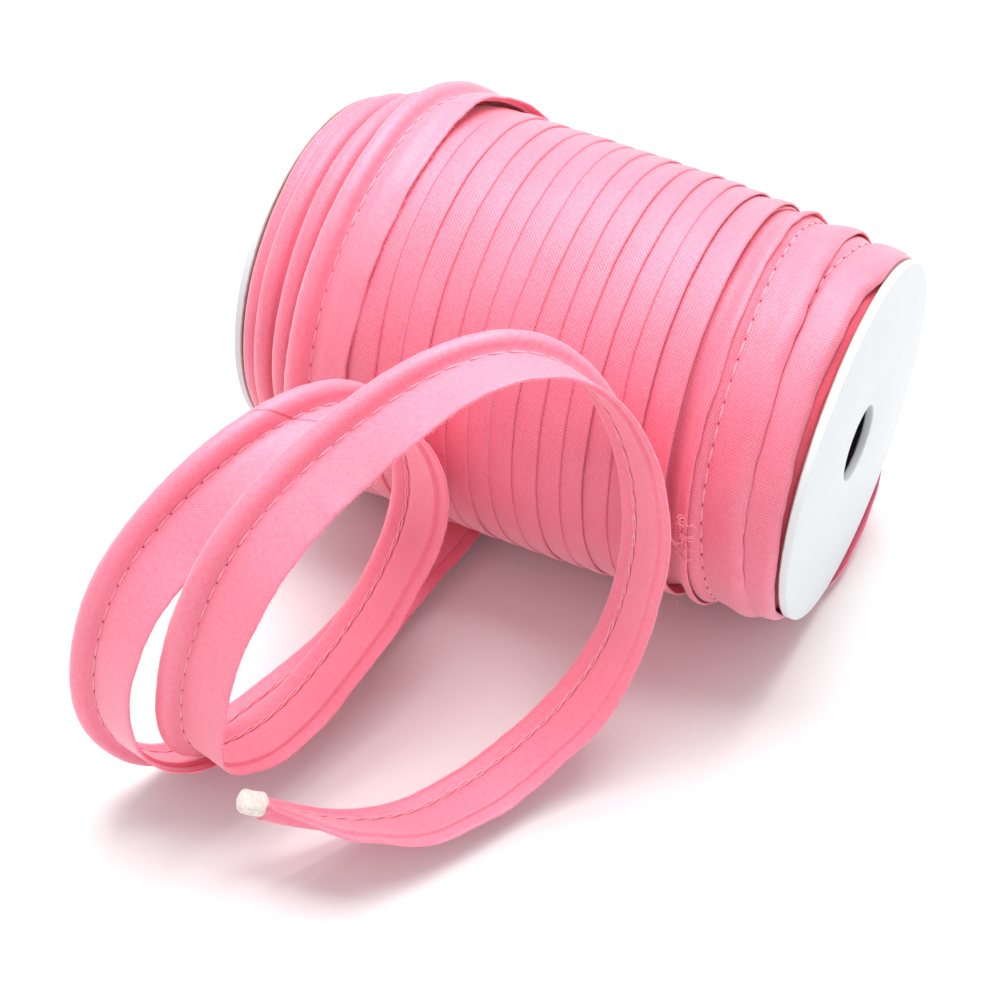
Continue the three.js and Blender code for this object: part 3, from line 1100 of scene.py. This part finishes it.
def make_cotton(name, openness, join=None, crevice_shade_factor=1.0):
    """The plain-weave bias cotton; openness is how far its threads stand apart, which sets how dark the
    painted shade in the weave's pits is; join is how far along the strip two lengths are sewn together
    on the slant; and a shade factor below 1, the last argument, paints shade into cloth that shows only
    between its neighbours: a fuller, darker red with less sheen and gloss."""
    material, tree, shader = new_material(name, (0.95, 0.21, 0.31), 0.55)
    # Painted shade: below 1 the shade factor takes gloss and sheen away, as if the cloth were in shade.
    shader.inputs["Specular IOR Level"].default_value = crevice_shade_factor ** 2
    shader.inputs["Specular Tint"].default_value = (0.9, 0.88, 1.0, 1)
    shader.inputs["Sheen Weight"].default_value = 0.55 * crevice_shade_factor ** 2
    shader.inputs["Sheen Roughness"].default_value = 0.45
    shader.inputs["Sheen Tint"].default_value = (1.0, 0.93, 0.97, 1)
    shader.inputs["Subsurface Weight"].default_value = 0.3
    shader.inputs["Subsurface Radius"].default_value = (1.0, 0.25, 0.35)
    shader.inputs["Subsurface Scale"].default_value = 1.2 * MM
    cloth = tree.nodes.new("ShaderNodeUVMap")
    cloth.uv_map = "cloth"
    spots = object_spots(tree)
    waver = tree.nodes.new("ShaderNodeTexNoise")
    waver.inputs["Scale"].default_value = 700.0
    tree.links.new(cloth.outputs[0], waver.inputs["Vector"])
    shift = tree.nodes.new("ShaderNodeVectorMath")
    shift.operation = "MULTIPLY_ADD"
    shift.inputs[1].default_value = (0.24 * MM, 0.24 * MM, 0)
    tree.links.new(waver.outputs["Color"], shift.inputs[0])
    tree.links.new(cloth.outputs[0], shift.inputs[2])
    parts = tree.nodes.new("ShaderNodeSeparateXYZ")
    tree.links.new(shift.outputs[0], parts.inputs[0])
    weave = weave_height(tree, parts.outputs[0], parts.outputs[1])
    slub = noise_at(tree, cloth.outputs[0], 1300.0, 4.0)
    cloudy = noise_at(tree, spots, 45.0, 2.0)
    worn = noise_at(tree, spots, 110.0)
    # Partly the weave's own pattern and partly painted shade: the pits between threads are painted darker
    # and redder, as shade falls in them.
    pits = maths(tree, "SUBTRACT", 1.0, maths(tree, "MULTIPLY", weave, 1.25), clamp=True)
    patch = maths(tree, "MULTIPLY", maths(tree, "ADD", slub, worn), openness)
    depth = maths(tree, "MULTIPLY", pits, patch)
    tone = maths(tree, "SUBTRACT", maths(tree, "ADD", maths(tree, "MULTIPLY", slub, 0.5), 0.42), depth)
    # Painted shade: the shade factor scales the ramp's green and blue, painting crevice cloth a fuller,
    # darker red.
    colour = ramp(tree, tone, [(0.0, (0.66, 0.03, 0.08)), (0.35, (0.90, 0.12 * crevice_shade_factor, 0.20 * crevice_shade_factor)),
                               (0.62, (0.955, 0.24 * crevice_shade_factor, 0.345 * crevice_shade_factor)),
                               (0.9, (0.97, 0.29 * crevice_shade_factor, 0.40 * crevice_shade_factor))])
    clouds = ramp(tree, cloudy, [(0.3, (0.94, 0.93, 0.94)), (0.7, (1, 1, 1))])
    colour = mixed(tree, 1.0, colour, clouds, "MULTIPLY")
    if join:
        flat = tree.nodes.new("ShaderNodeSeparateXYZ")
        tree.links.new(cloth.outputs[0], flat.inputs[0])
        slant = maths(tree, "ADD", flat.outputs[0], maths(tree, "MULTIPLY", flat.outputs[1], JOIN_SLANT))
        far = maths(tree, "ABSOLUTE", maths(tree, "SUBTRACT", slant, join * MM))
        line = maths(tree, "MULTIPLY", maths(tree, "SUBTRACT", 0.42 * MM, far), 1 / (0.3 * MM), clamp=True)
        colour = mixed(tree, maths(tree, "MULTIPLY", line, 0.75), colour, (0.55, 0.05, 0.11, 1))
        weave = maths(tree, "SUBTRACT", weave, maths(tree, "MULTIPLY", line, 2.0))
    tree.links.new(colour, shader.inputs["Base Color"])
    fuzz = noise_at(tree, spots, 2600.0)
    soft = bump(tree, fuzz, 0.06 * MM, 0.4)
    tree.links.new(bump(tree, weave, 0.08 * MM, min(1.0, openness), under=soft), shader.inputs["Normal"])
    return material


def make_thread():
    material, tree, shader = new_material("sewing_thread", (0.96, 0.32, 0.42), 0.6)
    shader.inputs["Sheen Weight"].default_value = 0.3
    spots = object_spots(tree)
    twist = noise_at(tree, spots, 1800.0)
    tree.links.new(ramp(tree, twist, [(0.35, (0.95, 0.28, 0.38)), (0.65, (0.97, 0.42, 0.52))]),
                   shader.inputs["Base Color"])
    tree.links.new(bump(tree, twist, 0.06 * MM, 0.6), shader.inputs["Normal"])
    return material


def make_hole_shade():
    material, tree, shader = new_material("needle_hole_shade", (0.45, 0.03, 0.07), 0.95)
    spots = object_spots(tree)
    grain = noise_at(tree, spots, 2000.0)
    tree.links.new(ramp(tree, grain, [(0.35, (0.38, 0.02, 0.055)), (0.65, (0.6, 0.05, 0.11))]),
                   shader.inputs["Base Color"])
    return material


def make_card(name, face, back):
    """Card with a coated face outwards and a grey-brown back; the colour changes in its thickness."""
    material, tree, shader = new_material(name, face, 0.6)
    shader.inputs["Specular IOR Level"].default_value = 0.35
    spots = object_spots(tree)
    parts = tree.nodes.new("ShaderNodeSeparateXYZ")
    tree.links.new(spots, parts.inputs[0])
    grain = noise_at(tree, spots, 700.0, 4.0)
    blotch = noise_at(tree, spots, 60.0, 2.0)
    depth = maths(tree, "ABSOLUTE", parts.outputs[0])
    uneven = maths(tree, "MULTIPLY", grain, 0.16 * MM)
    back_from = (SPOOL_END - DISC_THICK * 0.78) * MM
    inside = maths(tree, "LESS_THAN", maths(tree, "ADD", depth, uneven), back_from)
    faces = ramp(tree, blotch, [(0.3, tuple(0.975 * c for c in face)), (0.7, face)])
    edges = ramp(tree, grain, [(0.3, tuple(0.85 * c for c in back)), (0.7, back)])
    colour = mixed(tree, inside, faces, edges)
    scuff = tree.nodes.new("ShaderNodeVectorMath")
    scuff.operation = "DISTANCE"
    scuff.inputs[1].default_value = (SPOOL_END * MM, -14.1 * MM, 58.3 * MM)
    tree.links.new(spots, scuff.inputs[0])
    ring = maths(tree, "ABSOLUTE", maths(tree, "SUBTRACT", scuff.outputs["Value"], 1.5 * MM))
    broken = maths(tree, "GREATER_THAN", noise_at(tree, spots, 420.0), 0.56)
    mark = maths(tree, "MULTIPLY", maths(tree, "LESS_THAN", ring, 0.11 * MM), broken)
    worn = mixed(tree, maths(tree, "MULTIPLY", mark, 0.55), colour, (0.45, 0.43, 0.41, 1))
    tree.links.new(worn, shader.inputs["Base Color"])
    tree.links.new(bump(tree, grain, 0.03 * MM, 0.5), shader.inputs["Normal"])
    return material


def make_shaded_core_card():
    # Painted shade: the core card is painted near black, darker than card, so the bore shows the shade
    # deep inside it.
    material, tree, shader = new_material("core_card", (0.10, 0.09, 0.085), 0.9)
    spots = object_spots(tree)
    grain = noise_at(tree, spots, 400.0, 4.0)
    tree.links.new(ramp(tree, grain, [(0.3, (0.07, 0.063, 0.06)), (0.7, (0.12, 0.11, 0.10))]),
                   shader.inputs["Base Color"])
    tree.links.new(bump(tree, grain, 0.05 * MM, 0.5), shader.inputs["Normal"])
    return material


def make_cord_cotton():
    material, tree, shader = new_material("filler_cotton", (0.84, 0.79, 0.71), 0.95)
    shader.inputs["Sheen Weight"].default_value = 0.3
    spots = object_spots(tree)
    fibre = noise_at(tree, spots, 1500.0, 4.0)
    tree.links.new(ramp(tree, fibre, [(0.3, (0.72, 0.63, 0.54)), (0.6, (0.88, 0.84, 0.77))]),
                   shader.inputs["Base Color"])
    tree.links.new(bump(tree, fibre, 0.25 * MM, 0.7), shader.inputs["Normal"])
    return material


# ---- putting it together ----

make_camera()
make_light()
make_floor()

bpy.context.scene.view_settings.view_transform = "Standard"

cotton = make_cotton("bias_cotton", 0.24, join=JOIN_AT)
wound_cotton = make_cotton("wound_cotton", 0.50)
# Painted shade: cloth seen only in crevices, the winding body and the end turn, is painted a fuller,
# darker red with less sheen.
crevice_shade_cotton = make_cotton("crevice_shade_cotton", 0.30, crevice_shade_factor=0.6)
thread = make_thread()
card = make_card("coated_card", (0.785, 0.83, 0.85), (0.50, 0.42, 0.37))
# Painted shade: the left disc is the same card as the right, its face painted darker because it faces the
# light more.
left_card_painted_shade = make_card("left_coated_card_painted_shade", (0.70, 0.74, 0.76), (0.50, 0.42, 0.37))

route = last_turn_rows() + loose_end_rows()
stations = strip_stations(route, 0.8)
rest_on_floor(stations)
strip = fit_out(strip_mesh("loose_strip", stations), cotton, "pink_cotton", "loose_tape")
threads, holes = make_stitches("stitches", stations)
stitches = fit_out(threads, thread, "pink_cotton")
chains = [fit_out(make_chain(f"chain_thread_{n}", stations, math.pi * n), thread, "pink_cotton")
          for n in (0, 1)]
hole_shade = make_hole_shade()
fit_out(holes, hole_shade, "pink_cotton")
raw_edge = stations["edge"][::2]
edge_hairs = fuzz_paths(raw_edge, stations["flange"][::2], stations["normal"][::2], 0.45, 0.75, 4)
fit_out(thread_curves("raw_edge_fuzz", edge_hairs, 0.08), thread, "pink_cotton")
cord_end = fit_out(make_cord_end(stations), make_cord_cotton(), "cord_cotton", "filler_cord_end")

fit_out(make_winding_body(), crevice_shade_cotton, "pink_cotton", "wound_roll")
tiled_turns, tile_fuzz = make_tiled_turns()
fit_out(tiled_turns, wound_cotton, "pink_cotton")
fit_out(tile_fuzz, thread, "pink_cotton")
wound_threads, wound_holes = make_wound_stitches()
fit_out(wound_threads, thread, "pink_cotton")
fit_out(wound_holes, hole_shade, "pink_cotton")
fit_out(thread_curves("frayed_tuft", frayed_tuft(), 0.2, 1), thread, "pink_cotton")
fit_out(thread_curves("stray_fibres", stray_fibres(), 0.1), thread, "pink_cotton")
for number in range(len(LEFT_BEADS)):
    fit_out(make_left_turn(number), wound_cotton, "pink_cotton")
right_turns = [
    make_right_turn("under_turn", UNDER_TURN, 10, (DRIFT, 0.3), 0.0, 0.0, 70.0),
    make_right_turn("narrow_turn", NARROW_TURN, 18, (DRIFT, 0.7), 0.2, 0.0, 71.0),
    make_right_turn("beaded_turn", BEADED_TURN, 36, (DRIFT, 1.0), 0.35, 0.0, 73.0),
    make_right_turn("outer_turn", OUTER_TURN, 36, (OUTER_DRIFT, 1.0), -1.0, 1.0, 75.0),
]
for piece in right_turns:
    fit_out(piece, wound_cotton, "pink_cotton")
end_turn = make_right_turn("end_turn", END_TURN, 16, (DRIFT, 0.0), 0.0, 0.0, 77.0)
fit_out(end_turn, crevice_shade_cotton, "pink_cotton")

fit_out(make_disc("left_disc", -1), left_card_painted_shade, "card", "card_disc_left")
fit_out(make_disc("right_disc", 1), card, "card", "card_disc_right")
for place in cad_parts["card_core"].material_slots:
    place.material = make_shaded_core_card()
